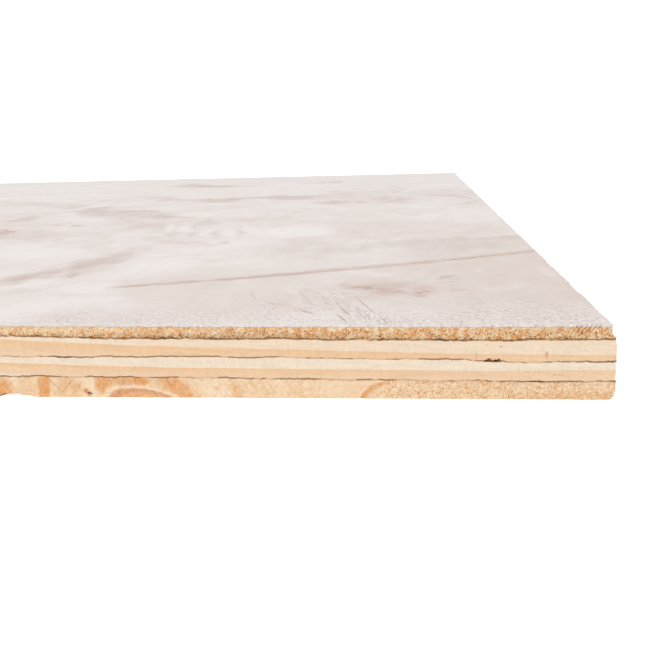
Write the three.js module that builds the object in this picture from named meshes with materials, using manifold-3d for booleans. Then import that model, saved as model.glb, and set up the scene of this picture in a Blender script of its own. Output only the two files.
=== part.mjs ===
// Softwood plywood sheet: four peeled veneers, bonded crosswise by three lines of dark resin.
// Millimetres, +Z up. The origin is the centre of the underside. +X runs across the sheet, and
// +Y runs along it, the way the grain of the two outer veneers goes.

import * as THREE from "three";
import { mergeVertices } from "three/addons/utils/BufferGeometryUtils.js";
import Module from "manifold-3d";

const wasm = await Module();
wasm.setup();

// The sheet as it is sold
const sheetWidth = 610;
const sheetLength = 610;

// The veneers, and the resin between each two of them
const backThickness = 3.3;
const lowerCoreThickness = 2.95;
const upperCoreThickness = 3.5;
const faceThickness = 1.8;
const glueThickness = 0.15;

// Peeled veneer is never even, so each glue line rises and falls in a long wave: how far it
// strays from its level, and the share of a wave that has passed at the front right corner
const waveAcross = 265;
const waveAlong = 900;
const lowerGlueWander = 0.39;
const lowerGlueAtCorner = -0.2;
const middleGlueWander = 0.57;
const middleGlueAtCorner = -0.09;
const upperGlueWander = 0.4;
const upperGlueAtCorner = -0.25;

// The right-hand side: the face veneer is worn back above a toe, which reaches out to the full
// width where it meets the glue line, and the lower arris is worn round
const faceSetback = 0.6;
const toeHeight = 0.8;
const toeLip = 0.15;
const toeSteps = 4;
const arrisWidth = 1;
const arrisHeight = 2;
const arrisSteps = 5;

// The split in the face, from its closed tip to its mouth at the right-hand side
const splitTipInset = 92.5;
const splitTipAlong = 40;
const splitMouthAlong = 91.3;
const splitBow = 2.5;
const splitWidth = 1.4;
const splitDepth = 0.7;
const splitRootShare = 0.1;
const splitTipShare = 0.15;
const splitOverrun = 1.1;
const splitSteps = 11;

// Voids above a glue line, where two veneers don't quite meet at the front edge
const voids = [
  { glueLine: "middle_glue_line", inset: 18.5, halfWidth: 1.5, halfHeight: 0.4, depth: 6 },
  { glueLine: "lower_glue_line", inset: 11.8, halfWidth: 1.6, halfHeight: 0.3, depth: 4 },
];
const voidLift = 0.4;

// A sliver torn out of the lower front arris
const sliver = { inset: 99.5, halfWidth: 8.5, halfHeight: 0.5, depth: 2.7 };

const blobSegments = 12;
const blobRings = 6;

// How finely a glue line is divided, and how far its cutter reaches past the sheet
const columns = 26;
const rows = 8;
const cutMargin = 10;

function woodFinish(color) {
  return new THREE.MeshStandardMaterial({ color, roughness: 0.85, metalness: 0 });
}

function resinFinish(color) {
  return new THREE.MeshStandardMaterial({ color, roughness: 0.6, metalness: 0 });
}

const backWood = woodFinish(0xe8c69a);
const coreWood = woodFinish(0xf0dabc);
const faceWood = woodFinish(0xe6dcd6);
const resin = resinFinish(0x5a4230);

const lowerWave = { wander: lowerGlueWander, atCorner: lowerGlueAtCorner };
const middleWave = { wander: middleGlueWander, atCorner: middleGlueAtCorner };
const upperWave = { wander: upperGlueWander, atCorner: upperGlueAtCorner };
const flat = { wander: 0, atCorner: 0 };

// From the underside up
const layers = [
  { name: "back_veneer", thickness: backThickness, finish: backWood },
  { name: "lower_glue_line", thickness: glueThickness, finish: resin, wave: lowerWave },
  { name: "lower_core_veneer", thickness: lowerCoreThickness, finish: coreWood },
  { name: "middle_glue_line", thickness: glueThickness, finish: resin, wave: middleWave },
  { name: "upper_core_veneer", thickness: upperCoreThickness, finish: coreWood },
  { name: "upper_glue_line", thickness: glueThickness, finish: resin, wave: upperWave },
  { name: "face_veneer", thickness: faceThickness, finish: faceWood },
];

const sheetThickness = layers.reduce((sum, layer) => sum + layer.thickness, 0);
const rightSide = sheetWidth / 2;
const frontEdge = -sheetLength / 2;

function solidOf(geometry) {
  const bare = geometry.clone();
  bare.deleteAttribute("normal");
  bare.deleteAttribute("uv");
  const { attributes, index } = mergeVertices(bare);
  const mesh = new wasm.Mesh({
    numProp: 3,
    vertProperties: new Float32Array(attributes.position.array),
    triVerts: new Uint32Array(index.array),
  });
  return new wasm.Manifold(mesh);
}

function pieceOf(solid, layer) {
  const { vertProperties, triVerts } = solid.getMesh();
  const shared = new THREE.BufferGeometry();
  shared.setAttribute("position", new THREE.BufferAttribute(vertProperties, 3));
  shared.setIndex(new THREE.BufferAttribute(triVerts, 1));
  const geometry = shared.toNonIndexed();
  geometry.computeVertexNormals();
  const piece = new THREE.Mesh(geometry, layer.finish);
  piece.name = layer.name;
  return piece;
}

// The sheet's end profile, run along its length. A worn profile has its lower right arris
// rounded to a quarter of an ellipse.
function profileBlock({ worn = false }) {
  const profile = new THREE.Shape();
  profile.moveTo(-rightSide, 0);
  if (worn) {
    const arrisStart = rightSide - arrisWidth;
    profile.lineTo(arrisStart, 0);
    profile.absellipse(arrisStart, arrisHeight, arrisWidth, arrisHeight, -Math.PI / 2, 0);
  } else {
    profile.lineTo(rightSide, 0);
  }
  profile.lineTo(rightSide, sheetThickness);
  profile.lineTo(-rightSide, sheetThickness);
  const block = new THREE.ExtrudeGeometry(profile, {
    depth: sheetLength,
    bevelEnabled: false,
    curveSegments: arrisSteps,
  });
  block.rotateX(Math.PI / 2);
  block.translate(0, -frontEdge, 0);
  return solidOf(block);
}

const wornBlock = profileBlock({ worn: true });
const squareBlock = profileBlock({});

// The top of each layer. The two surfaces of a glue line share its wave, so it stays as thick.
const surfaces = {};
let level = 0;
layers.forEach((layer, i) => {
  level += layer.thickness;
  surfaces[layer.name] = { level, wave: layer.wave ?? layers[i + 1]?.wave ?? flat };
});

function surfaceHeight({ level, wave }, x, y) {
  const waves = (rightSide - x) / waveAcross + (y - frontEdge) / waveAlong + wave.atCorner;
  return level + wave.wander * Math.sin(2 * Math.PI * waves);
}

// Everything below a surface, reaching past the sheet on every side
function fillBelow(surface) {
  const width = sheetWidth + 2 * cutMargin;
  const length = sheetLength + 2 * cutMargin;
  const fill = new THREE.BoxGeometry(width, length, 1, columns, rows, 1);
  const places = fill.getAttribute("position");
  for (let i = 0; i < places.count; i += 1) {
    const height = surfaceHeight(surface, places.getX(i), places.getY(i));
    places.setZ(i, places.getZ(i) > 0 ? height : -cutMargin);
  }
  return solidOf(fill);
}

// What is worn off the right-hand side above the toe. Its underside comes down in a hollow curve
// and ends a lip's height above the glue line, whose rise and fall it follows.
function wearAboveToe() {
  const wear = new THREE.BoxGeometry(1, 1, 1, toeSteps + 1, rows, 1);
  const places = wear.getAttribute("position");
  for (let i = 0; i < places.count; i += 1) {
    const step = Math.round((places.getX(i) + 0.5) * (toeSteps + 1));
    const share = Math.min(step / toeSteps, 1);
    const overrun = step > toeSteps ? cutMargin : 0;
    const x = rightSide - faceSetback * (1 - share) + overrun;
    const y = places.getY(i) * (sheetLength + 2 * cutMargin);
    const foot = toeLip + (toeHeight - toeLip) * (1 - share) ** 2;
    const underside = surfaceHeight(surfaces.upper_glue_line, x, y) + foot;
    places.setXYZ(i, x, y, places.getZ(i) > 0 ? sheetThickness + cutMargin : underside);
  }
  return solidOf(wear);
}

// A wedge that follows the split in a shallow arc. It is twice as wide at its top, which stands
// as far above the face as its root lies below, so that the split has its width at the face.
function splitWedge() {
  const tip = new THREE.Vector2(rightSide - splitTipInset, frontEdge + splitTipAlong);
  const run = new THREE.Vector2(splitTipInset, splitMouthAlong - splitTipAlong);
  const wedge = new THREE.BoxGeometry(1, 1, 1, splitSteps, 1, 1);
  const places = wedge.getAttribute("position");
  for (let i = 0; i < places.count; i += 1) {
    const along = (places.getX(i) + 0.5) * splitOverrun;
    const place = tip.clone().addScaledVector(run, along);
    place.y -= 4 * splitBow * along * (1 - along);
    const heading = new THREE.Vector2(run.x, run.y - 4 * splitBow * (1 - 2 * along)).normalize();
    const opening = splitWidth * Math.max(splitTipShare, Math.sqrt(Math.min(along, 1)));
    const isTop = places.getZ(i) > 0;
    const across = places.getY(i) * opening * (isTop ? 2 : splitRootShare);
    const height = sheetThickness + (isTop ? splitDepth : -splitDepth);
    places.setXYZ(i, place.x - heading.y * across, place.y + heading.x * across, height);
  }
  return solidOf(wedge);
}

// An ellipsoid centred on the front edge, which hollows it out
function blobAt(height, { inset, halfWidth, halfHeight, depth }) {
  const blob = new THREE.SphereGeometry(1, blobSegments, blobRings);
  blob.scale(halfWidth, depth, halfHeight);
  blob.translate(rightSide - inset, frontEdge, height);
  return solidOf(blob);
}

function voidBlob(opening) {
  const place = [surfaces[opening.glueLine], rightSide - opening.inset, frontEdge];
  return blobAt(surfaceHeight(...place) + voidLift * opening.halfHeight, opening);
}

const hollows = [...voids.map(voidBlob), blobAt(0, sliver)];
const sheet = new THREE.Group();
sheet.name = "plywood_sheet";

let fillUnder = null;
layers.forEach((layer, i) => {
  let solid = layer.name === "back_veneer" ? wornBlock : squareBlock;
  if (fillUnder) {
    solid = solid.subtract(fillUnder);
  }
  if (i < layers.length - 1) {
    fillUnder = fillBelow(surfaces[layer.name]);
    solid = solid.intersect(fillUnder);
  }
  for (const hollow of hollows) {
    solid = solid.subtract(hollow);
  }
  if (layer.name === "face_veneer") {
    solid = solid.subtract(wearAboveToe()).subtract(splitWedge());
  }
  sheet.add(pieceOf(solid, layer));
});

export default sheet;
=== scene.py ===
import math

import bmesh
import bpy
from mathutils import Matrix, Vector, noise


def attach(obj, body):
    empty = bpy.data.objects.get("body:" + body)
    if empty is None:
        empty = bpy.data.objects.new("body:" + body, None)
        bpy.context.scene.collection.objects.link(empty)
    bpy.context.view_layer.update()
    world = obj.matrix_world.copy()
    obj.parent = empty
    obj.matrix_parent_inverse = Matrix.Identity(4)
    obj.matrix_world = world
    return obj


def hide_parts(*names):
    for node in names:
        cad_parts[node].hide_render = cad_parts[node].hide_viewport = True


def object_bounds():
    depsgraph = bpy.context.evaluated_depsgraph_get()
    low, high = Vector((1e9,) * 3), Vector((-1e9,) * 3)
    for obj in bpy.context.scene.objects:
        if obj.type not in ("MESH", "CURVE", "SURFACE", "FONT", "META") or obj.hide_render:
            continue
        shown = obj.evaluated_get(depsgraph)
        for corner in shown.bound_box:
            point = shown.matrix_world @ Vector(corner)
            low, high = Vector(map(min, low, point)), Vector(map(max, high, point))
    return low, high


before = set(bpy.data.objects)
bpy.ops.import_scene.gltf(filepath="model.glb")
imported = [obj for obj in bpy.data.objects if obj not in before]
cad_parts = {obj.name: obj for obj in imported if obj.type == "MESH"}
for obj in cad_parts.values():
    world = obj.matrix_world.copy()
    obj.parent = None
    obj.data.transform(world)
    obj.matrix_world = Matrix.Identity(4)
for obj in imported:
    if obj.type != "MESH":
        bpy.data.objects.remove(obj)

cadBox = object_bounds()
mm = 0.001
low, high = (corner / mm for corner in cadBox)
leftX, frontY = low.x, low.y
rightX, backY, topZ = high

# Everything below is in millimetres until a mesh is finished. An inset is the distance in
# from the right side, and the front edge is the one with the tear above it.

# The sheet's make-up. The long waves are the solids' own, and just at the edges the glue lines
# waver and are lifted at some insets too.
layup = {
    "lowerGlue": {"level": 3.3, "wander": 0.39, "atCorner": -0.2, "seed": 4, "lifts": [(0, -0.05)]},
    "middleGlue": {"level": 6.4, "wander": 0.57, "atCorner": -0.09, "seed": 22,
                   "lifts": [(0, 0.08), (4, 0), (10, -0.24), (18, -0.14), (25, 0)]},
    "upperGlue": {"level": 10.05, "wander": 0.4, "atCorner": -0.25, "seed": 61,
                  "lifts": [(0, 0), (8, -0.15), (80, -0.17), (88, 0)]},
    "glueThickness": 0.15,
    "waveAcross": 265,
    "waveAlong": 900,
    "waver": 0.2,
    "waverReach": 1,
    "waves": [(0.2, 1), (0.8, 0.5), (2.3, 0.4)],
}

# How finely the rim of each layer is divided: finest next to the front right corner. Wear
# fades out by wearReach in from an edge, and is deeper at the corners.
rim = {
    "nearLength": 112,
    "nearPitch": 0.16,
    "sideLength": 60,
    "sidePitch": 0.4,
    "farPitch": 1.2,
    "cellAcross": 30,
    "cellAlong": 80,
    "rowCrowding": 0.7,
    "wearReach": 2,
    "cornerWear": 0.05,
}

# What the saw leaves on an end and on a side. Lumps and fibres: how many to the millimetre,
# and how much of the roughness they make
sawnEnd = {"lumps": (1.5, 0.42), "fibres": (2.5, 0.3), "swells": 0.3, "holes": 1.1, "taller": 1.15,
           "least": 0.55}
sawnSide = {"depth": 0.05, "along": 0.05, "across": 1.4, "frayed": 0.24, "frayedFrom": (1, 12)}


def shareOf(start, end, value):
    return max(0, min(1, (value - start) / (end - start)))


def smooth(start, end, value):
    share = shareOf(start, end, value)
    return share * share * (3 - 2 * share)


# A value read off a table of (place, value) pairs
def along(table, place):
    for (a, valueA), (b, valueB) in zip(table, table[1:]):
        if place <= b:
            return valueA + (valueB - valueA) * shareOf(a, b, place)
    return table[-1][1]


def bumps(x, y, z):
    return noise.noise(Vector((x, y, z)))


# How a glue line wavers just where the edges cut it
def waver(values, x, y):
    fromEdge = min(x - leftX, rightX - x, y - frontY, backY - y)
    here = max(0, 1 - fromEdge / layup["waverReach"])
    atFront = max(0, 1 - (y - frontY) / layup["waverReach"])
    q = Vector((x, y, values["seed"]))
    uneven = sum(share * noise.noise(q * scale) for scale, share in layup["waves"]) if here else 0
    return layup["waver"] * here * uneven + atFront * along(values["lifts"], rightX - x)


def underGlue(line):
    values = layup[line]

    def height(x, y):
        waves = (rightX - x) / layup["waveAcross"] + (y - frontY) / layup["waveAlong"]
        wave = math.sin(2 * math.pi * (waves + values["atCorner"]))
        return values["level"] + values["wander"] * wave + waver(values, x, y)

    return height


def overGlue(line):
    return lambda x, y: underGlue(line)(x, y) + layup["glueThickness"]


def flatAt(z):
    return lambda x, y: z


def rimLoop(bm):
    nearStart = rightX - rim["nearLength"]
    sideEnd = frontY + rim["sideLength"]
    corners = [
        ((leftX, frontY), rim["farPitch"]),
        ((nearStart, frontY), rim["nearPitch"]),
        ((rightX, frontY), rim["sidePitch"]),
        ((rightX, sideEnd), rim["farPitch"]),
        ((rightX, backY), rim["farPitch"]),
        ((leftX, backY), rim["farPitch"]),
    ]
    verts = [bm.verts.new((x, y, 0)) for (x, y), _ in corners]
    spans = [bm.edges.new((a, b)) for a, b in zip(verts, verts[1:] + verts[:1])]
    for edge, (_, pitch) in zip(spans, corners):
        cuts = round(edge.calc_length() / pitch) - 1
        bmesh.ops.subdivide_edges(bm, edges=[edge], cuts=cuts)


# Cuts a broad face into cells, so that it can follow the waves of a glue line
def cutIntoCells(bm, cap):
    cells = [cap]
    for normal, size, start, end in (
        (Vector((1, 0, 0)), rim["cellAcross"], leftX, rightX),
        (Vector((0, 1, 0)), rim["cellAlong"], frontY, backY),
    ):
        for i in range(1, math.ceil((end - start) / size)):
            geom = cells + list(dict.fromkeys(e for f in cells for e in f.edges))
            geom += list(dict.fromkeys(v for f in cells for v in f.verts))
            place = normal * (start + i * size)
            cut = bmesh.ops.bisect_plane(bm, geom=geom, plane_co=place, plane_no=normal, dist=0.01)
            cells = [g for g in cut["geom"] if isinstance(g, bmesh.types.BMFace)]


# A closed slab between two surfaces. Its rim is finely divided, with rows that crowd
# towards both glue lines, and a ledge of long narrow faces joins it to the broad cells.
def slab(lower, upper, rows, ledge):
    bm = bmesh.new()
    rimLoop(bm)
    bottomEdges = bm.edges[:]
    wall = bmesh.ops.extrude_edge_only(bm, edges=bottomEdges)["geom"]
    topVerts = [g for g in wall if isinstance(g, bmesh.types.BMVert)]
    bmesh.ops.translate(bm, verts=topVerts, vec=(0, 0, 1))
    topEdges = [e for e in bm.edges if all(v.co.z > 0.5 for v in e.verts)]
    uprights = [e for e in bm.edges if abs(e.verts[0].co.z - e.verts[1].co.z) > 0.5]
    if rows > 1:
        bmesh.ops.subdivide_edges(bm, edges=uprights, cuts=rows - 1, use_grid_fill=True)
    onRim = bm.verts.layers.float.new("onRim")
    for v in bm.verts:
        v[onRim] = 1
    inward = 1 - ledge / rightX
    for edges in (bottomEdges, topEdges):
        step = bmesh.ops.extrude_edge_only(bm, edges=edges)["geom"]
        inner = [g for g in step if isinstance(g, bmesh.types.BMVert)]
        for v in inner:
            v[onRim] = 0
        bmesh.ops.scale(bm, verts=inner, vec=(inward, inward, 1))
        innerEdges = [e for e in bm.edges if e.is_boundary and all(v[onRim] == 0 for v in e.verts)]
        cutIntoCells(bm, bmesh.ops.edgeloop_fill(bm, edges=innerEdges)["faces"][0])
    bmesh.ops.recalc_face_normals(bm, faces=bm.faces[:])
    for v in bm.verts:
        share = v.co.z - rim["rowCrowding"] / (2 * math.pi) * math.sin(2 * math.pi * v.co.z)
        bottom, top = lower(v.co.x, v.co.y), upper(v.co.x, v.co.y)
        v.co.z = bottom + (top - bottom) * share
    return bm


# The glue lines

# Where a glue line is darkest along the front edge: from one inset to another, and how dark
darkStretches = {
    "upperGlue": [
        (0, 4, 0.8), (17, 19, 0.7), (25, 29, 0.9), (42, 48, 0.7), (58, 66, 0.8), (69, 74, 1),
        (78, 80, 0.9), (92, 96, 0.8),
    ],
    "middleGlue": [
        (0, 5, 0.8), (17.5, 20.5, 1), (33, 36, 0.7), (52, 58, 0.7), (63, 73, 0.6), (87, 91, 0.9),
    ],
    "lowerGlue": [
        (10, 13.5, 1), (34, 37, 0.8), (50, 54, 0.8), (57, 62, 0.8), (76, 84, 0.7), (88, 96, 0.6),
    ],
}
glueLook = {
    "upperGlue": {"cover": 0.82, "least": 0.3, "seed": 11},
    "middleGlue": {"cover": 0.6, "least": 0.1, "seed": 37},
    "lowerGlue": {"cover": 0.65, "least": 0.1, "seed": 71},
    "dashes": 0.3,
    "soft": 0.8,
    "recess": 0.05,
    "uneven": 0.03,
    "spread": 0.06,
    "ledge": 3.4,
}


def glueDark(line, p):
    look = glueLook[line]
    q = Vector((p.x, p.y, look["seed"])) * glueLook["dashes"]
    streak = noise.noise(q) + 0.6 * noise.noise(q * 4.3)
    dark = look["least"] + (look["cover"] - look["least"]) * smooth(-0.5, 0.5, streak)
    if p.y < frontY + 1:
        inset, soft = rightX - p.x, glueLook["soft"]
        for start, end, strength in darkStretches[line]:
            here = smooth(start - soft, start + soft, inset) * smooth(end + soft, end - soft, inset)
            dark = max(dark, strength * here * (0.8 + 0.5 * streak))
    return min(1, dark)


# The open pockets in two glue lines: how far up they reach, how far down and how deep
pockets = [
    {"line": "middleGlue", "inset": 18.25, "halfWidth": 0.7, "up": 0.45, "down": 0.1, "depth": 0.55},
    {"line": "middleGlue", "inset": 19.55, "halfWidth": 0.8, "up": 0.36, "down": 0.1, "depth": 0.5},
    {"line": "lowerGlue", "inset": 11.85, "halfWidth": 1.2, "up": 0.16, "down": 0.16, "depth": 0.5},
]


def pocketDepth(p):
    deepest = 0
    for pocket in pockets:
        middle = underGlue(pocket["line"])(p.x, p.y) + layup["glueThickness"] / 2
        sideways = (rightX - p.x - pocket["inset"]) / pocket["halfWidth"]
        reach = pocket["up"] if p.z > middle else pocket["down"]
        ragged = 1 + 0.5 * bumps(p.x * 1.9, p.z * 3, 5)
        ragged += 0.5 * bumps(p.x * 3.7, p.z * 5, 9)
        away = math.hypot(sideways, (p.z - middle) / reach / max(0.3, ragged))
        deepest = max(deepest, pocket["depth"] * smooth(1.1, 0.55, away))
    return deepest


# The edges

# Where a late ring ends within each core veneer: (inset, height above the underside) at the
# front edge, and how it wanders from there
coreRings = {
    "upperCore": [(0, 7.35), (25, 7.65), (50, 8.35), (65, 8.7), (80, 9.2), (100, 10.2), (200, 14),
                  (610, 20)],
    "lowerCore": [(0, 4.95), (10, 4.85), (20, 4.75), (50, 5.05), (70, 5.25), (85, 5.6), (100, 6.1),
                  (610, 14)],
    "steepness": {"upperCore": 1, "lowerCore": 1.65},
    "wander": 2.6,
    "wanderWidth": 45,
    "wanderLength": 400,
}


def ringHeight(key, p):
    inset, seed = rightX - p.x, veneers[key]["seed"]
    lengthwise, sideways = inset / coreRings["wanderLength"], (p.y - frontY) / coreRings["wanderWidth"]
    wandered = coreRings["wander"] * (bumps(lengthwise, sideways, seed) - bumps(lengthwise, 0, seed))
    over = p.z - along(coreRings[key], inset) - wandered
    return over * (coreRings["steepness"][key] if over < 0 else 1)


# A worn arris: the right side of the face veneer stands back above a toe, and the
# right side of the back veneer is rounded off below
rightProfile = {
    "faceSetback": 0.75,
    "toeSetback": 0.22,
    "toeFoot": 1.2,
    "toeHeight": 0.8,
    "toeLip": 0.15,
    "arrisWidth": 1,
    "arrisHeight": 2,
    "reach": 3,
}


def rightInward(key, height):
    if key == "face":
        share = shareOf(rightProfile["toeLip"], rightProfile["toeHeight"], height)
        start = rightProfile["toeSetback"]
        return start + (rightProfile["faceSetback"] - start) * math.sqrt(share)
    if key == "upperCore":
        foot = veneers[key]["thickness"] - rightProfile["toeFoot"]
        return rightProfile["toeSetback"] * smooth(foot, foot + rightProfile["toeFoot"], height)
    if key == "upperGlue":
        return rightProfile["toeSetback"]
    if key == "back":
        below = max(0, 1 - height / rightProfile["arrisHeight"])
        return rightProfile["arrisWidth"] * (1 - math.sqrt(1 - below * below))
    return 0


# Slivers torn out of the lower arris of the back veneer, with the grain
slivers = [
    {"inset": 98.6, "halfWidth": 2.3, "halfHeight": 0.52, "depth": 2.7},
    {"inset": 97, "halfWidth": 2.4, "halfHeight": 0.3, "depth": 1.6},
]
# A short crack above the middle glue line
crack = {"inset": 10.55, "foot": 6.6, "head": 7.4, "lean": 0.1, "halfWidth": 0.18, "depth": 0.42,
         "softFoot": 0.2, "softHead": 0.15}
# Where a knot's heart has dropped out of the edge of the back veneer
knotHole = {"inset": 85, "height": 0.5, "halfWidth": 0.2, "halfHeight": 0.45, "lean": -0.5, "depth": 0.4}
# Torn ridges that slant across the end of the face veneer, near the corner
ridges = {"start": (1.5, 3), "end": (8, 6), "foot": (0.5, 1), "spacing": 0.7, "lean": 0.75, "depth": 0.23}
# Tears at the foot of the face veneer's ends, and chips at their top
faceWear = {"torn": 0.3, "tornHeight": 0.35, "chipped": 0.12, "chipHeight": 0.5, "least": 0.05}


def endDepth(values, s, z, seed):
    q = Vector((s, z * sawnEnd["taller"], seed))
    (lumpScale, lumpShare), (fibreScale, fibreShare) = sawnEnd["lumps"], sawnEnd["fibres"]
    lumps = lumpShare * noise.noise(q * lumpScale)
    fibres = fibreShare * noise.noise(q * fibreScale + Vector((9, 9, 9)))
    swells = smooth(-0.3, 0.4, noise.noise(q * sawnEnd["swells"]))
    holes = smooth(0.12, 0.5, noise.noise(q * sawnEnd["holes"] + Vector((31, 7, 3))))
    rough = values["rough"] * (sawnEnd["least"] + (1 - sawnEnd["least"]) * swells)
    return rough * (0.5 + lumps + fibres) + values["holes"] * holes


def sideDepth(s, z, seed):
    return sawnSide["depth"] * (0.5 + 0.5 * bumps(s * sawnSide["along"], z * sawnSide["across"], seed))


# How far a point on the rim lies behind the true side
def edgeDepth(key, wall, p, height):
    values = veneers[key]
    across = wall in ("front", "back")
    s = p.x if across else p.y
    seed = {"front": 0, "back": 50, "left": 100, "right": 150}[wall] + values["seed"]
    isEnd = across == (values["grain"] == "y")
    depth = endDepth(values, s, p.z, seed) if isEnd else sideDepth(s, p.z, seed)
    if key == "face" and isEnd:
        torn = smooth(0.1, 0.55, bumps(s * 1.3, 3, seed))
        depth += faceWear["torn"] * torn * max(0, 1 - height / faceWear["tornHeight"])
        chipped = smooth(0.1, 0.6, bumps(s * 0.7, 8, seed))
        fromTop = max(0, 1 - (values["thickness"] - height) / faceWear["chipHeight"])
        depth += faceWear["least"] + faceWear["chipped"] * chipped * fromTop
    elif key == "face":
        frayed = smooth(-0.2, 0.6, bumps(s * 0.09, 1, seed)) + 0.5 * smooth(0, 0.5, bumps(s * 0.35, 2, seed))
        depth += sawnSide["frayed"] * frayed * smooth(*sawnSide["frayedFrom"], p.y - frontY)
    return frontDepth(key, depth, p, height) if wall == "front" else depth


# The same where the front edge has pockets, ridges, a crack, torn slivers or the knot's hole
def frontDepth(key, depth, p, height):
    inset = rightX - p.x
    depth = max(depth, pocketDepth(p))
    if key == "face":
        slant = math.sin(2 * math.pi * (inset + p.z * ridges["lean"]) / ridges["spacing"])
        here = smooth(*ridges["start"], inset)
        here *= smooth(*ridges["end"], inset) * smooth(*ridges["foot"], height)
        depth += ridges["depth"] * here * max(0, slant)
    if key == "upperCore":
        place = crack["inset"] + crack["lean"] * (p.z - crack["foot"])
        below = crack["foot"] - crack["softFoot"]
        tall = smooth(below, crack["head"], p.z) + 0.3 * smooth(below, crack["foot"], p.z)
        tall *= smooth(crack["head"] + crack["softHead"], crack["head"], p.z)
        depth += crack["depth"] * tall * max(0, 1 - abs(inset - place) / crack["halfWidth"])
    if key == "back":
        for sliver in slivers:
            away = math.hypot((inset - sliver["inset"]) / sliver["halfWidth"], height / sliver["halfHeight"])
            depth = max(depth, sliver["depth"] * math.sqrt(max(0, 1 - away ** 2)))
        above = height - knotHole["height"]
        sideways = inset - (knotHole["inset"] + knotHole["lean"] * above)
        away = math.hypot(sideways / knotHole["halfWidth"], above / knotHole["halfHeight"])
        depth += knotHole["depth"] * smooth(1.1, 0.2, away)
    return depth


def wearRightSide(v, key, height):
    v.co.x -= smooth(rightX - rightProfile["reach"], rightX, v.co.x) * rightInward(key, height)


def pushIn(v, wall, step):
    v.co.x += step * ((wall == "left") - (wall == "right"))
    v.co.y += step * ((wall == "front") - (wall == "back"))


# How much resin has come through on the rim, next to a glue line
def resinAt(line, p, away, side):
    dark = glueDark(line, p)
    wobble = side * bumps(p.x * 1.3, p.y * 1.3, 3) + 0.8 * bumps(p.x * 3.1, p.y * 3.1, 8)
    spread = 0.02 + glueLook["spread"] * max(0.1, dark) * max(0, 1 + 2.4 * wobble)
    return dark * smooth(spread, 0.3 * spread, away)


def distances(p):
    return {"front": p.y - frontY, "back": backY - p.y, "left": p.x - leftX, "right": rightX - p.x}


# Wears the rim of a veneer, and notes on each point how much resin and how deep a pit is there; the depth of
# the pit is later painted in as shade
def roughen(bm, key, lower, upper):
    belowLine, aboveLine = veneers[key]["below"], veneers[key]["above"]
    onRim = bm.verts.layers.float["onRim"]
    resin = bm.verts.layers.float.new("resin")
    pit = bm.verts.layers.float.new("pit")
    ring = bm.verts.layers.float.new("ringHeight") if key in coreRings else None
    reach = rim["wearReach"]
    for v in bm.verts:
        p = v.co.copy()
        if ring:
            v[ring] = ringHeight(key, p)
        height = p.z - lower(p.x, p.y)
        wearRightSide(v, key, height)
        if v[onRim] > 0.5:
            for line, away, side in ((belowLine, height, 1), (aboveLine, upper(p.x, p.y) - p.z, -1)):
                if line:
                    v[resin] = max(v[resin], resinAt(line, p, away, side))
        near = {wall: away for wall, away in distances(p).items() if away < reach}
        for wall, away in near.items():
            if v[onRim] < 0.5 and away > 0.001:
                continue
            depth = max(0, edgeDepth(key, wall, p, height)) + 0.1 * v[resin]
            if len(near) > 1:
                other = min(near[w] for w in near if w != wall)
                depth += rim["cornerWear"] * (1 - other / reach) ** 2
            step = (1 - away / reach) ** 2 * depth
            v[pit] = max(v[pit], step)
            pushIn(v, wall, step)


# The map that the finish is baked on: a long strip for each edge, with a larger one for the
# stretch next to the front right corner, and the broad face that shows above them
mapPlan = {
    "broad": {"walls": 0.14, "shares": (0.46, 0.135, 0.135, 0.135, 0.135), "hidden": 0.05},
    "thin": {"walls": 0.9, "shares": (0.6, 0.1, 0.1, 0.1, 0.1), "hidden": 0.08},
    "gap": 0.005,
}


def layOutMap(bm, lower, upper, shown):
    onRim = bm.verts.layers.float["onRim"]
    uv = bm.loops.layers.uv.new("OFBake")
    sizes, gap = mapPlan["broad" if shown else "thin"], mapPlan["gap"]
    starts = [sizes["walls"] * sum(sizes["shares"][:i]) for i in range(5)]
    nearStart = rightX - rim["nearLength"]
    width = rightX - leftX
    for f in bm.faces:
        middle = f.calc_center_median()
        if sum(v[onRim] for v in f.verts) > len(f.verts) - 1:
            away = list(distances(middle).values())
            side = away.index(min(away))
            strip = side + 1 if side else (0 if middle.x > nearStart else 1)
            for loop in f.loops:
                x, y, z = loop.vert.co
                bottom, top = lower(x, y), upper(x, y)
                share = shareOf(bottom, top, z)
                if strip == 0:
                    u = (x - nearStart) / rim["nearLength"]
                else:
                    u = ((x - leftX) if side < 2 else (y - frontY)) / width
                tall = sizes["walls"] * sizes["shares"][strip] - gap
                loop[uv].uv = (u * (1 - gap), starts[strip] + tall * share)
        else:
            for loop in f.loops:
                x, y, z = loop.vert.co
                u, v = (x - leftX) / width, (y - frontY) / width
                upwards = f.normal.z > 0
                if shown == ("top" if upwards else "bottom"):
                    tall = 1 - sizes["walls"] - sizes["hidden"] - 2 * gap
                    loop[uv].uv = (u * (1 - gap), sizes["walls"] + gap + v * tall)
                else:
                    size = sizes["hidden"] - gap
                    start = 0 if upwards else sizes["hidden"]
                    loop[uv].uv = (start + u * size, 1 - size + v * size)


def meshFrom(bm, name):
    mesh = bpy.data.meshes.new(name)
    bm.to_mesh(mesh)
    bm.free()
    return mesh


def addObject(name, data):
    made = bpy.data.objects.new(name, data)
    bpy.context.scene.collection.objects.link(made)
    return made


def finishPiece(bm, name, node, slotName):
    bmesh.ops.scale(bm, verts=bm.verts, vec=(mm, mm, mm))
    piece = addObject(name, meshFrom(bm, name))
    piece.data.materials.append(finishes[slotName])
    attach(piece, "root")
    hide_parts(node)
    print("made", name, len(piece.data.polygons), "faces")


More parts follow.
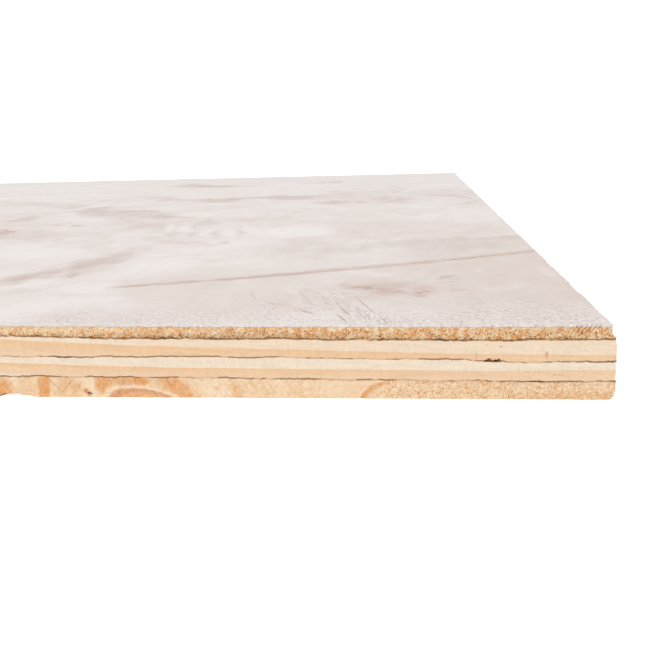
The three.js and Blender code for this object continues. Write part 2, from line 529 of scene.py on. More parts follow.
# The tear in the face: a groove that runs slantwise out through the right side
tear = {
    "tipInset": 92.5,
    "tipAlong": 40,
    "mouthAlong": 91.3,
    "bow": 3.8,
    "width": 1.1,
    "depth": 0.4,
    "tipShare": 0.15,
    "overrun": 0.02,
    "steps": 260,
    "stepsAcross": 6,
    "ragged": 0.35,
    "rimAbove": 0.06,
    "lidAbove": 0.5,
}


def tearCutter():
    cutter = bmesh.new()
    bmesh.ops.create_grid(cutter, x_segments=tear["steps"], y_segments=tear["stepsAcross"], size=1)
    run, rise = tear["tipInset"], tear["mouthAlong"] - tear["tipAlong"]
    for v in cutter.verts:
        u = (v.co.x + 1) / 2 * (1 + tear["overrun"])
        sideways = v.co.y
        bow = tear["bow"] * 4 * u * (1 - u)
        middle = Vector((rightX - run * (1 - u), frontY + tear["tipAlong"] + rise * u - bow, 0))
        heading = Vector((run, rise - tear["bow"] * 4 * (1 - 2 * u), 0)).normalized()
        opening = tear["tipShare"] + (1 - tear["tipShare"]) * smooth(0, 0.9, u)
        opening *= smooth(-0.001, 0.03, u)
        rag = 1 + tear["ragged"] * bumps(u * run * 0.8, sideways * 0.6, 2)
        rag += 1.6 * tear["ragged"] * bumps(u * run * 0.13, 0, 4)
        half = tear["width"] / 2 * opening * rag
        depth = tear["depth"] * opening * (1 - abs(sideways) ** 1.6)
        depth *= 1 + 0.5 * bumps(u * run * 0.5, sideways, 7)
        v.co = middle + Vector((-heading.y, heading.x, 0)) * sideways * half
        v.co.z = topZ + tear["rimAbove"] - depth * 1.06
    lid = bmesh.ops.extrude_face_region(cutter, geom=cutter.faces[:])["geom"]
    for g in lid:
        if isinstance(g, bmesh.types.BMVert):
            g.co.z = topZ + tear["lidAbove"]
    bmesh.ops.recalc_face_normals(cutter, faces=cutter.faces[:])
    return cutter


def cutTear(bm):
    parts = (("faceBlank", bm), ("tearCutter", tearCutter()))
    blank, knife = (addObject(name, meshFrom(part, name)) for name, part in parts)
    cut = blank.modifiers.new("tear", "BOOLEAN")
    cut.operation = "DIFFERENCE"
    cut.solver = "EXACT"
    cut.object = knife
    shape = blank.evaluated_get(bpy.context.evaluated_depsgraph_get())
    result = bmesh.new()
    result.from_mesh(shape.to_mesh())
    for mesh in (blank.data, knife.data):
        bpy.data.meshes.remove(mesh)
    return result


veneers = {
    "face": {"below": "upperGlue", "above": None, "grain": "y", "thickness": 1.8, "rough": 0.25,
             "holes": 0.12, "seed": 3, "rows": 13, "ledge": 1.4, "shown": "top"},
    "upperCore": {"below": "middleGlue", "above": "upperGlue", "grain": "x", "thickness": 3.5,
                  "rough": 0.16, "holes": 0.08, "seed": 13, "rows": 12, "ledge": 3.4, "shown": None},
    "lowerCore": {"below": "lowerGlue", "above": "middleGlue", "grain": "x", "thickness": 2.95,
                  "rough": 0.16, "holes": 0.08, "seed": 23, "rows": 12, "ledge": 3.4, "shown": None},
    "back": {"below": None, "above": "lowerGlue", "grain": "y", "thickness": 3.3, "rough": 0.18,
             "holes": 0.12, "seed": 33, "rows": 14, "ledge": 3.4, "shown": "bottom"},
}


def makeVeneer(key):
    values = veneers[key]
    lower = overGlue(values["below"]) if values["below"] else flatAt(0)
    upper = underGlue(values["above"]) if values["above"] else flatAt(topZ)
    bm = slab(lower, upper, values["rows"], values["ledge"])
    roughen(bm, key, lower, upper)
    if key == "face":
        bm = cutTear(bm)
    layOutMap(bm, lower, upper, values["shown"])
    return bm


def makeGlueLine(line):
    lower, upper = underGlue(line), overGlue(line)
    bm = slab(lower, upper, 1, glueLook["ledge"])
    onRim = bm.verts.layers.float["onRim"]
    resin = bm.verts.layers.float.new("resin")
    for v in bm.verts:
        p = v.co.copy()
        wearRightSide(v, line, 0)
        if v[onRim] < 0.5:
            continue
        v[resin] = glueDark(line, p)
        depth = glueLook["recess"] * v[resin] + glueLook["uneven"] * noise.noise(p * 1.7)
        if p.y < frontY + 0.01:
            depth = max(depth, pocketDepth(p))
        for wall, away in distances(p).items():
            pushIn(v, wall, abs(depth) * max(0, 1 - away / rim["wearReach"]) ** 2)
    layOutMap(bm, lower, upper, None)
    return bm


# The finishes


# Colours as a screen shows them, from 0 to 255, made linear
def tint(*parts):
    parts = [c / 255 for c in parts]
    return (*(c / 12.92 if c < 0.04 else ((c + 0.055) / 1.055) ** 2.4 for c in parts), 1)


def tints(**colors):
    return {name: tint(*parts) for name, parts in colors.items()}


# How high the relief of each finish stands, in millimetres
reliefs = {"faceFibres": 0.03, "scratches": -0.06, "faceEnds": 0.12, "coreFibres": 0.02, "coreSawn": 0.02,
           "backFibres": 0.04, "ends": 0.1, "resin": 0.06}


# A shader node, in the tree that its inputs come from unless another is given
def addNode(kind, inputs=None, tree=None, **settings):
    inputs = inputs or {}
    linked = {name: value for name, value in inputs.items() if isinstance(value, bpy.types.NodeSocket)}
    tree = tree or next(iter(linked.values())).id_data
    made = tree.nodes.new("ShaderNode" + kind)
    for name, value in settings.items():
        setattr(made, name, value)
    for name, value in inputs.items():
        if name in linked:
            tree.links.new(value, made.inputs[name])
        else:
            made.inputs[name].default_value = value
    return made


def calc(operation, *values):
    return addNode("Math", dict(enumerate(values)), operation=operation).outputs[0]


def times(first, *others):
    for other in others:
        first = calc("MULTIPLY", first, other)
    return first


def minus(first, second):
    return calc("SUBTRACT", first, second)


def scaled(value, scale, offset):
    return calc("MULTIPLY_ADD", value, scale, offset)


def larger(first, second):
    return calc("MAXIMUM", first, second)


def capped(value, most=1):
    return calc("MINIMUM", value, most)


def vectors(operation, *values):
    return addNode("VectorMath", dict(enumerate(values)), operation=operation).outputs[0]


def joined(x, y, z=0):
    return addNode("CombineXYZ", {0: x, 1: y, 2: z}).outputs[0]


def separated(vector):
    return addNode("SeparateXYZ", {0: vector}).outputs


def ranged(value, start, end, least=0, most=1, shape="SMOOTHSTEP"):
    ends = {"Value": value, "From Min": start, "From Max": end, "To Min": least, "To Max": most}
    return addNode("MapRange", ends, interpolation_type=shape).outputs[0]


def blended(share, first, second):
    return addNode("Mix", {0: share, 2: first, 3: second}, data_type="FLOAT").outputs[0]


def mixed(share, first, second, blend="MIX"):
    return addNode("Mix", {0: share, 6: first, 7: second}, data_type="RGBA", blend_type=blend).outputs[2]


# Lays colours of a look on one after another, each by its own mask
def coated(color, look, coats):
    for name, mask in coats:
        color = mixed(mask, color, look[name])
    return color


def noiseOn(vector, scale=1, detail=2, roughness=0.5):
    inputs = {"Vector": vector, "Scale": scale, "Detail": detail, "Roughness": roughness}
    return addNode("TexNoise", inputs).outputs[0]


# Uneven steps, up to half of the reach each way, to push a vector about by
def nudges(vector, scale, detail, reach):
    uneven = addNode("TexNoise", {"Vector": vector, "Scale": scale, "Detail": detail}).outputs[1]
    return vectors("MULTIPLY", vectors("SUBTRACT", uneven, (0.5, 0.5, 0.5)), reach)


def attribute(tree, name):
    return addNode("Attribute", tree=tree, attribute_name=name).outputs["Fac"]


# A group takes vectors, colours and numbers, and all but the vectors have a usual value
def newGroup(name, **takes):
    tree = bpy.data.node_groups.new(name, "ShaderNodeTree")
    for label, usual in takes.items():
        kind = {type(None): "Vector", tuple: "Color"}.get(type(usual), "Float")
        socket = tree.interface.new_socket(label, in_out="INPUT", socket_type="NodeSocket" + kind)
        if usual is not None:
            socket.default_value = usual
    return tree, tree.nodes.new("NodeGroupInput").outputs


def closeGroup(tree, **gives):
    kinds = {"VALUE": "Float", "VECTOR": "Vector", "RGBA": "Color"}
    for label, value in gives.items():
        kind = "NodeSocket" + kinds[value.type]
        tree.interface.new_socket(label, in_out="OUTPUT", socket_type=kind)
    given = tree.nodes.new("NodeGroupOutput").inputs
    for label, value in gives.items():
        tree.links.new(value, given[label])
    return tree


def useGroup(group, **inputs):
    return addNode("Group", inputs, node_tree=group).outputs


# Where a point is: on the plan (inset, distance from the front edge), and on the
# nearest edge (place along it, height), both in millimetres
def makePlaceGroup():
    tree, taken = newGroup("sheetPlace", Object=None)
    x, y, z = separated(vectors("MULTIPLY", taken["Object"], [1 / mm] * 3))
    inset = minus(rightX, x)
    fromFront = minus(y, frontY)
    acrossY = calc("GREATER_THAN", calc("ABSOLUTE", y), calc("ABSOLUTE", x))
    front = times(acrossY, calc("LESS_THAN", y, 0))
    wall = calc("ADD", times(acrossY, 40), times(front, 20))
    edge = joined(blended(acrossY, fromFront, inset), z, wall)
    return closeGroup(tree, Plan=joined(inset, fromFront, z), Edge=edge, Front=front, AcrossY=acrossY)


def leaned(taken):
    inputs = {"Vector": taken["Vector"], "Angle": taken["Lean"]}
    return addNode("VectorRotate", inputs, rotation_type="Z_AXIS").outputs[0]


def sown(vector, seed):
    return vectors("ADD", vector, joined(seed, seed, seed))


# Streaks drawn out along the second axis
def makeStreakGroup():
    tree, taken = newGroup("grainStreaks", Vector=None, Lean=0, Width=1, Length=10, Detail=2, Seed=0)
    size = joined(taken["Width"], taken["Length"], taken["Width"])
    moved = sown(vectors("DIVIDE", leaned(taken), size), taken["Seed"])
    return closeGroup(tree, Value=noiseOn(moved, 1, taken["Detail"], 0.55))


# Growth rings as a veneer cuts them: each darkens slowly, then ends sharply
def makeRingGroup():
    tree, taken = newGroup("growthRings", Vector=None, Spacing=3, Swell=8, Width=100, Length=400, Seed=0)
    shrunk = vectors("DIVIDE", taken["Vector"], joined(taken["Width"], taken["Length"], 1e4))
    hills = noiseOn(sown(shrunk, taken["Seed"]), 1, 1.6, 0.4)
    depth = scaled(hills, taken["Swell"], separated(taken["Vector"])[2])
    phase = calc("FRACT", calc("DIVIDE", depth, taken["Spacing"]))
    return closeGroup(tree, Late=times(calc("POWER", phase, 2.5), ranged(phase, 1, 0.93)))


# Sawn end grain: blotches of torn fibre, pale tufts and dark open pores
def makeEndGroup():
    tree, taken = newGroup("endGrain", Vector=None, Size=0.6, Lean=0, Stretch=1.6)
    size = joined(taken["Size"], times(taken["Size"], taken["Stretch"]), 1)
    shrunk = vectors("DIVIDE", leaned(taken), size)
    tufts = noiseOn(vectors("ADD", shrunk, (31, 17, 5)), 1, 3, 0.65)
    pores = noiseOn(vectors("ADD", shrunk, (7, 53, 11)), 1.3, 2, 0.5)
    return closeGroup(
        tree,
        Tone=noiseOn(shrunk, 0.28, 2, 0.6),
        Tufts=ranged(tufts, 0.5, 0.62),
        Pores=ranged(pores, 0.55, 0.66),
        Height=minus(tufts, times(pores, 0.6)),
    )


resinLook = tints(
    dry=(222, 184, 144), resin=(160, 118, 78), burnt=(116, 80, 50), through=(140, 100, 64),
)


# Darkens a colour where resin has come through, and paints shade into the bottoms of the pits, darker the
# deeper they are
def makeResinShadeGroup():
    tree, taken = newGroup("resinAndPits", Color=(1, 1, 1, 1), Vector=None, Pit=(0, 0, 0, 1), From=0.25,
                           To=0.6, Amount=0.7)
    resin = attribute(tree, "resin")
    ragged = noiseOn(taken["Vector"], 2.4, 3, 0.65)
    deep = ranged(attribute(tree, "pit"), taken["From"], taken["To"], 0, taken["Amount"], "LINEAR")
    shaded = mixed(deep, taken["Color"], taken["Pit"])
    spread = calc("ADD", resin, times(minus(ragged, 0.5), 1.1))
    mask = times(ranged(spread, 0.2, 0.8), ranged(resin, 0, 0.15), 0.8)
    return closeGroup(tree, Color=mixed(mask, shaded, resinLook["through"]))


placeGroup = makePlaceGroup()
streakGroup = makeStreakGroup()
ringGroup = makeRingGroup()
endGroup = makeEndGroup()
resinShadeGroup = makeResinShadeGroup()


def streaks(vector, width, length, detail, seed, lean=0):
    return useGroup(streakGroup, Vector=vector, Lean=lean, Width=width, Length=length, Detail=detail,
                    Seed=seed)["Value"]


def lateWood(vector, spacing, swell, width, length, seed):
    return useGroup(ringGroup, Vector=vector, Spacing=spacing, Swell=swell, Width=width, Length=length,
                    Seed=seed)["Late"]


# Resin stains, and painted shade in the pits
def stainedAndShaded(place, color, pit, start, end, amount):
    return useGroup(resinShadeGroup, Color=color, Vector=place["Edge"], Pit=pit, From=start, To=end,
                    Amount=amount)["Color"]


# A vector as an ellipse has it: its middle is 0, and its rim is 1 away
def ellipseOn(vector, middle, half, turn):
    return addNode("Mapping", {
        "Vector": vector,
        "Location": (*middle, 0),
        "Rotation": (0, 0, math.radians(turn)),
        "Scale": (*half, 1e6),
    }, vector_type="TEXTURE").outputs[0]


# One soft-edged mark for each row of (x, y, half width, half height, turn, strength), added up
def markMask(vector, rows):
    total = 0
    for x, y, halfWide, halfTall, turn, strength in rows:
        place = ellipseOn(vector, (x, y), (halfWide, halfTall), turn)
        spot = addNode("TexGradient", {"Vector": place}, gradient_type="SPHERICAL").outputs[1]
        total = calc("ADD", total, ranged(spot, 0, 0.75, 0, strength))
    return total


def newFinish(name, roughness, specular):
    finish = bpy.data.materials.new(name)
    finish.use_nodes = True
    tree = finish.node_tree
    shader = tree.nodes["Principled BSDF"].inputs
    shader["Roughness"].default_value = roughness
    shader["Specular IOR Level"].default_value = specular
    return finish, useGroup(placeGroup, Object=addNode("TexCoord", tree=tree).outputs["Object"])


def cover(finish, color, height):
    tree = finish.node_tree
    shader = tree.nodes["Principled BSDF"].inputs
    tree.links.new(color, shader["Base Color"])
    bump = addNode("Bump", {"Height": height, "Distance": mm, "Strength": 1})
    tree.links.new(bump.outputs[0], shader["Normal"])
    return finish


faceLook = tints(
    ground=(235, 227, 223), pale=(243, 237, 234), tan=(225, 212, 203), mauve=(219, 205, 201),
    brown=(212, 195, 185), rust=(205, 174, 160), grey=(216, 204, 198), smudge=(174, 146, 124),
    front=(237, 229, 227), tear=(206, 187, 174), stroke=(184, 154, 137), edge=(238, 195, 147),
    edgePale=(254, 236, 202), edgeOrange=(228, 161, 100), edgeDark=(130, 86, 48),
    # The last is a painted shadow, just under the pale skin of the face
    seam=(194, 183, 178),
)
# The patterns in the face: width and length in millimetres, detail, seed and lean
facePatterns = {
    "cloud": (30, 28, 3, 2),
    "broad": (60, 80, 2, 8),
    "long": (5, 190, 3, 41),
    "mottle": (6.5, 15, 3, 21),
    "torn": (5, 5, 2, 4),
    "fibres": (0.55, 5, 3, 5),
    "coarse": (2.6, 5.5, 3, 6),
    "darker": (0.17, 5.5, 1.5, 9),
    "paler": (0.26, 6, 1.5, 31),
    "hairs": (0.3, 3, 2, 51, 1.1),
    "sides": (0.4, 14, 2, 7, math.pi / 2),
}
# Rings near the stained corner and beyond it: spacing, swell, width, length and seed
faceRings = {"near": (3.1, 15, 110, 160, 3), "beyond": (3.4, 30, 120, 760, 17)}
# Where each thing begins and has its full strength, in millimetres: by inset, by the distance
# from the front edge, and by height
faceZones = {
    "plainer": (100, 190),
    "paleBack": (150, 420),
    "bend": (60, 300),
    "tanFront": (150, 50),
    "tanInset": (100, 60),
    "near": (36, 14),
    "strip": (9, 5.5),
    "stripInset": (30, 55),
    "greyTear": (35, 10),
    "lowEdge": (11.6, 10.3),
    "foot": (10.95, 10.4),
    "footInset": (15, 66),
    "footEnd": (90, 72),
    "cornerEdge": (22, 6),
    "paleEdge": (55, 100),
    # a painted shadow line just below the pale skin, by height over where the skin starts
    "seam": (-0.26, -0.1),
    "skin": (-0.03, 0.03),
}

# Stains in the face, by inset and distance from the front edge
faceStains = {
    "mauve": [
        (241, 318, 73, 15, 38, 0.4), (157, 226, 14, 57, -32, 0.4), (96, 118, 6.5, 11, -34, 0.6),
        (87, 121, 3, 8, -16, 0.55), (194, 212, 6, 19, -32, 1), (163, 185, 5, 15, -36, 1),
        (161, 140, 11, 26, -37, 0.45), (158, 154, 9, 30, -44, 0.5), (160, 330, 17, 76, -45, 0.6),
        (102, 327, 38, 23, -11, 0.8), (100, 330, 18, 21, -26, 0.5), (71, 280, 10, 25, -24, 0.9),
        (66, 345, 27, 69, -3, 0.4), (42, 288, 8, 44, -12, 0.8), (45, 385, 9, 67, -4, 0.4),
        (21, 330, 29, 63, 3, 0.4), (13, 307, 6, 22, -3, 0.7), (9, 274, 3.2, 31, 1, 0.7),
        (92, 484, 14, 23, 2, 0.8), (28, 92, 11, 19, -7, 0.4), (89, 8, 9, 6, 30, 0.35),
    ],
    "brown": [
        (111, 76, 7.5, 20, 7, 0.37), (116, 62, 9, 16, 7, 0.42), (120, 49, 6, 8, 17, 0.3),
        (133, 324, 16, 23, -19, 0.7), (57, 271, 6, 14, -9, 0.6), (19, 313, 8, 14, -7, 0.7),
        (180, 470, 48, 34, 40, 0.8), (37, 36, 14, 17, -26, 0.45), (25, 100, 40, 12, 0, 0.2),
        (117, 58, 15, 11, -34, 0.33), (113, 78, 10, 15, 19, 0.33), (37, 32, 17, 9, 6, 0.35),
    ],
    "grey": [
        (194, 278, 17, 60, -42, 0.5), (159, 239, 19, 61, -43, 0.65), (130, 210, 8, 30, -36, 0.5),
        (110, 199, 6, 13, -32, 0.6), (139, 185, 14, 54, -33, 0.3), (107, 124, 5, 27, -34, 0.34),
        (110, 95, 5, 21, 0, 0.45), (144, 131, 1.6, 12, -23, 0.5), (61, 99, 22, 24, 16, 0.35),
        (47, 111, 1.6, 17, 1, 0.6), (35, 114, 15, 22, 19, 0.45), (18, 109, 11, 18, -37, 0.4),
        (10, 121, 23, 7, -2, 0.6), (109, 91, 6, 19, 11, 0.4),
    ],
    "rust": [
        (109, 57, 1.7, 3.5, -23, 0.9), (120, 54, 1.1, 3, -30, 0.6), (177, 158, 7, 15, -37, 1),
        (180, 167, 1.5, 6, -28, 0.8), (41, 34, 8, 5, 30, 1.1), (42, 35, 1.9, 6, -22, 0.9),
        (32, 37, 8, 5, 15, 0.7), (33, 29, 8, 3.7, 20, 0.9), (23, 31, 4, 2.7, 3, 1.1),
        (47, 40, 1.9, 5, 3, 0.4), (52, 16, 3, 5, -29, 0.4), (43, 13, 2.9, 6, -31, 0.4),
    ],
    "pale": [
        (72, 148, 20, 28, 0, 1), (135, 99, 24, 18, 24, 0.7), (94, 70, 13, 22, 8, 0.8),
        (114, 46, 8, 5, -30, 0.5), (100, 39, 11, 9, 0, 0.6), (20, 200, 30, 30, 0, 0.3),
        (43, 55, 13, 6, 20, 0.6), (140, 60, 20, 12, 0, 0.3),
    ],
    "tan": [(6, 46, 36, 56, 0, 0.9), (30, 62, 20, 14, 0, 0.2), (200, 330, 60, 40, 30, 0.2)],
    "smudge": [
        (25, 42, 5, 1.3, -3, 0.7), (25, 48, 2.8, 1.2, 4, 0.5), (31, 29, 1.5, 2.3, 29, 0.7),
        (42, 33, 1, 2.5, 12, 0.8), (40, 38, 1.2, 1.7, -10, 0.6),
    ],
}
# A row of small swells in the figure: painted highlights on their tops, and painted shade at their feet
swells = {
    "pale": [
        (118, 168, 3.7, 21, -17, 0.65), (112, 167, 3.7, 22, -16, 0.7), (100, 148, 2.9, 20, -14, 0.5),
        (93, 149, 3.2, 25, -13, 0.7), (87, 156, 3.3, 24, -11, 0.6),
    ],
    "grey": [
        (111, 143, 2.8, 6, -23, 0.6), (104, 145, 2.9, 8, -11, 0.6), (97, 149, 1.6, 15, -13, 0.5),
        (89, 148, 1.4, 15, -12, 0.5), (109, 170, 0.8, 17, -14, 0.4), (113, 160, 0.65, 17, -15, 0.4),
    ],
}
# Strokes near the front edge: the same, but narrow, and turned off the grain
strokes = [
    (62, 28, 0.2, 8, -17, 0.5), (56, 15, 0.2, 3, -15, 0.5), (52, 27, 0.2, 7.5, -21, 0.6),
    (51, 23, 0.2, 10, -18, 0.5), (47, 20, 0.2, 6, -24, 0.5), (47, 23, 0.2, 8, -20, 0.6),
    (43, 6, 0.3, 5.7, -19, 1), (43, 12, 0.5, 6, -18, 0.8), (40, 18, 0.22, 13, -15, 0.9),
    (36, 4, 0.2, 6.4, -14, 0.8), (40, 9, 0.2, 9.7, -14, 0.7), (39, 8, 0.2, 9, -13, 0.6),
    (35, 4, 0.2, 4.7, -12, 0.6), (50, 12, 0.6, 1, -38, 1), (49, 11, 0.4, 2.4, -40, 0.9),
    (36, 5, 0.45, 0.8, 0, 1),
]
# Where the face is scratched most, and where only here and there
scratched = [
    (49, 26, 15, 7, 55, 1.2), (40, 8, 15, 7, 58, 1.2), (50, 14, 6, 4.5, 53, 0.9), (57, 19, 7, 8, 0, 0.8),
    (92, 9, 12, 9, 0, 0.6),
]
scuffed = [
    (14, 12, 24, 22, 0, 1), (28, 28, 16, 12, 0, 0.6), (100, 6, 26, 10, 0, 0.45), (70, 6, 20, 8, 0, 0.3),
]
# Scratches lean by so many degrees at one inset, and fan out from there
fanned = {"inset": 45, "lean": 16, "spread": 0.06}
# How far below the arris the pale skin of the face starts at the front, from the corner to
# the far inset, with a sag between them
skinStart = {"atCorner": 0.27, "atFar": -0.28, "far": 100, "elsewhere": -0.09, "slope": 0.22, "sag": 0.12}


# Rises from 0 to a quarter halfway, and falls to 0 again
def hump(share):
    return times(share, minus(1, share))


# The stain and painted shade round the tear: strongest on its line, and gone some millimetres to each side
def tearMask(plan):
    inset, fromFront, _ = separated(plan)
    share = calc("DIVIDE", minus(tear["tipInset"], inset), tear["tipInset"])
    rise = tear["mouthAlong"] - tear["tipAlong"]
    line = minus(scaled(share, rise, tear["tipAlong"]), times(hump(share), 4 * tear["bow"]))
    away = times(minus(fromFront, line), math.cos(math.atan2(rise, tear["tipInset"])))
    uneven = streaks(plan, *facePatterns["torn"])
    reach = times(uneven, ranged(share, 0, 0.7, 0.55, 1))
    above = ranged(away, times(reach, 11), 0)
    below = ranged(away, times(reach, -8), 0)
    tone = times(ranged(uneven, 0.3, 0.65, 0.6, 1), ranged(inset, 44, 58, 0.75, 1))
    return times(above, below, ranged(share, -0.04, 0), tone)


# Soft clouds and rings near the stained corner. Beyond it the figure is plainer, and runs
# long with the grain.
def faceFigure(plan, fromFront, cloud, cloudy, plainer):
    broad, long = (streaks(plan, *facePatterns[name]) for name in ("broad", "long"))
    near, beyond = (lateWood(plan, *faceRings[name]) for name in ("near", "beyond"))
    color = mixed(ranged(broad, 0.42, 0.7, 0, 0.5), faceLook["ground"], faceLook["tan"])
    return coated(color, faceLook, [
        ("pale", times(ranged(cloud, 0.5, 0.72, 0, 0.75), cloudy)),
        ("mauve", times(ranged(cloud, 0.46, 0.28, 0, 0.5), cloudy)),
        ("brown", times(near, 0.18)),
        ("pale", ranged(fromFront, *faceZones["paleBack"], 0, 0.55)),
        ("tan", times(ranged(long, 0.48, 0.66, 0, 0.5), plainer)),
        ("pale", times(ranged(long, 0.48, 0.34, 0, 0.5), plainer)),
        ("brown", times(beyond, plainer, 0.6)),
    ])


# Stains, with edges that wander and a tone that breaks up
def faceStaining(color, plan, nudge, wandered, inset, fromFront, cloudy):
    clumps = scaled(streaks(plan, *facePatterns["mottle"]), 1.9, -0.95)
    uneven = scaled(clumps, 1.2, 1)
    specks = noiseOn(vectors("MULTIPLY", plan, (0.6, 0.5, 0)), 1, 4, 0.7)
    for name, rows in faceStains.items():
        mask = capped(times(markMask(wandered, rows), uneven))
        if name in ("rust", "smudge"):
            mask = times(mask, ranged(specks, 0.38, 0.56, 0.2, 1))
        color = mixed(mask, color, faceLook[name])
    slightly = vectors("ADD", plan, vectors("MULTIPLY", nudge, (0.6, 1, 0)))
    tanned = times(ranged(fromFront, *faceZones["tanFront"], 0, 0.2), ranged(inset, *faceZones["tanInset"]))
    return coated(color, faceLook, [
        ("mauve", times(ranged(clumps, 0, 0.5, 0, 0.3), cloudy)),
        ("pale", times(ranged(clumps, 0, -0.5, 0, 0.3), cloudy)),
        # the swells' painted highlights and painted shade
        *((name, capped(markMask(slightly, rows), 0.9)) for name, rows in swells.items()),
        ("tan", tanned),
    ])


# Fibres, smears and scratches, thickest near the front edge, and their height
def faceScratching(color, plan, wandered, inset, fromFront, cloud):
    fibres, coarse, hairs = (streaks(plan, *facePatterns[name]) for name in ("fibres", "coarse", "hairs"))
    shade = ranged(fibres, 0.25, 0.75, 0.985, 1.015, "LINEAR")
    shade = times(shade, ranged(coarse, 0.25, 0.75, 0.98, 1.02, "LINEAR"))
    color = mixed(1, color, shade, "MULTIPLY")
    near = ranged(scaled(cloud, 20, fromFront), *faceZones["near"])
    patch, scuffs = (capped(markMask(wandered, rows)) for rows in (scratched, scuffed))
    fan = scaled(minus(inset, fanned["inset"]), fanned["spread"], 1)
    fan = times(fromFront, math.tan(math.radians(fanned["lean"])), fan)
    leaning = joined(minus(inset, fan), fromFront)
    darker, paler = (streaks(leaning, *facePatterns[name]) for name in ("darker", "paler"))
    smears, dots = (noiseOn(vectors("MULTIPLY", plan, size), 1, 3, 0.6)
                    for size in ((0.35, 1.2, 0), (1.5, 0.8, 0)))
    dotted = scaled(near, 0.8, times(patch, 0.35))
    marks = larger(times(ranged(darker, 0.53, 0.65), patch), times(ranged(dots, 0.52, 0.68), dotted))
    marks = larger(marks, times(ranged(hairs, 0.58, 0.68), scuffs))
    lines = larger(times(marks, 0.5), times(capped(markMask(plan, strokes)), 0.8))
    lights = larger(times(ranged(paler, 0.51, 0.66), patch), times(ranged(hairs, 0.42, 0.32), scuffs))
    lights = larger(lights, times(ranged(dots, 0.49, 0.35), near))
    strip = ranged(scaled(smears, 9, fromFront), *faceZones["strip"])
    strip = times(strip, ranged(dots, 0.6, 0.42, 0.2, 0.85))
    color = coated(color, faceLook, [
        ("mauve", times(ranged(smears, 0.5, 0.68), times(near, 0.6))),
        ("pale", times(lights, 0.9)),
        ("stroke", lines),
        ("front", times(strip, ranged(inset, *faceZones["stripInset"], 0.45, 1.1))),
    ])
    return color, scaled(fibres, reliefs["faceFibres"], times(lines, reliefs["scratches"]))


# The sawn edge: torn end grain at the front and back, long fibres at the sides
def faceEdge(place, inset, height):
    look, zones = faceLook, faceZones
    grain = useGroup(endGroup, Vector=place["Edge"], Size=0.3, Lean=-0.65, Stretch=1.5)
    low = ranged(height, *zones["lowEdge"])
    # Painted shade: the end of the face darkens towards its foot, most between these insets
    shaded = times(ranged(inset, *zones["footInset"], 0, 0.24), ranged(inset, *zones["footEnd"], 0.1, 1))
    wood = mixed(ranged(grain["Tone"], 0.49, 0.6), look["edge"], look["edgeOrange"])
    wood = coated(wood, look, [
        ("edgePale", ranged(grain["Tone"], 0.46, 0.34, 0, 0.6)),
        ("edgePale", times(grain["Tufts"], 0.9)),
        ("edgeDark", times(grain["Pores"], scaled(low, 0.5, 0.46))),
        ("edgeDark", scaled(low, 0.06, ranged(inset, *zones["cornerEdge"], 0, 0.04))),
        ("edgeDark", times(shaded, ranged(height, *zones["foot"]))),
        ("edgePale", times(ranged(inset, *zones["paleEdge"], 0, 0.22), minus(1, low))),
    ])
    sides = mixed(streaks(place["Edge"], *facePatterns["sides"]), look["edgeOrange"], look["edgePale"])
    wood = mixed(place["AcrossY"], sides, wood)
    # Resin stains, and painted shade in the pits of the edge
    wood = stainedAndShaded(place, wood, look["edgeDark"], start=0.26, end=0.6, amount=0.55)
    return wood, times(grain["Height"], reliefs["faceEnds"])


# How far a point is above the ragged line where the skin of the face starts
def skinReach(place, inset, fromFront, height):
    front = place["Front"]
    rise = scaled(times(front, fromFront), skinStart["slope"], minus(height, topZ))
    share = ranged(inset, 0, skinStart["far"], shape="LINEAR")
    start = scaled(share, skinStart["atCorner"] - skinStart["atFar"], -skinStart["atCorner"])
    start = blended(front, skinStart["elsewhere"], scaled(hump(share), -4 * skinStart["sag"], start))
    frayed = minus(noiseOn(place["Edge"], 0.7, 5, 0.75), 0.5)
    return minus(rise, scaled(frayed, scaled(front, 0.52, 0.08), start))


def makeFaceWood():
    finish, place = newFinish("faceWood", roughness=0.85, specular=0.18)
    plan = place["Plan"]
    inset, fromFront, height = separated(plan)
    cloud = streaks(plan, *facePatterns["cloud"])
    plainer = ranged(scaled(fromFront, -0.43, inset), *faceZones["plainer"])
    cloudy = scaled(plainer, -0.7, 1)
    nudge = nudges(plan, 0.11, 3, (12, 22, 0))
    bend = vectors("MULTIPLY", nudges(plan, 0.035, 1, (30, 60, 0)), ranged(fromFront, *faceZones["bend"]))
    wandered = vectors("ADD", vectors("ADD", plan, nudge), bend)
    color = faceFigure(plan, fromFront, cloud, cloudy, plainer)
    color = faceStaining(color, plan, nudge, wandered, inset, fromFront, cloudy)
    color, topHeight = faceScratching(color, plan, wandered, inset, fromFront, cloud)
    # The tear's stain, with painted shade beside its groove
    torn = mixed(ranged(inset, *faceZones["greyTear"], 0, 0.6), faceLook["tear"], faceLook["grey"])
    color = mixed(tearMask(plan), color, torn)
    wood, endHeight = faceEdge(place, inset, height)
    over = skinReach(place, inset, fromFront, height)
    # A painted shadow line just below the pale skin, at the front edge
    seam = times(ranged(over, *faceZones["seam"], 0, 0.5), place["Front"])
    skin = ranged(over, *faceZones["skin"])
    color = mixed(skin, mixed(seam, wood, faceLook["seam"]), color)
    return cover(finish, color, blended(skin, endHeight, topHeight))


coreLook = tints(
    cream=(244, 227, 205), warmCream=(243, 222, 196), peach=(240, 200, 158), fade=(241, 212, 181),
    # The last is the painted shade in the bottoms of the pits
    endDark=(196, 148, 104), pit=(120, 84, 50),
)
coreRingSpacing = 5.4
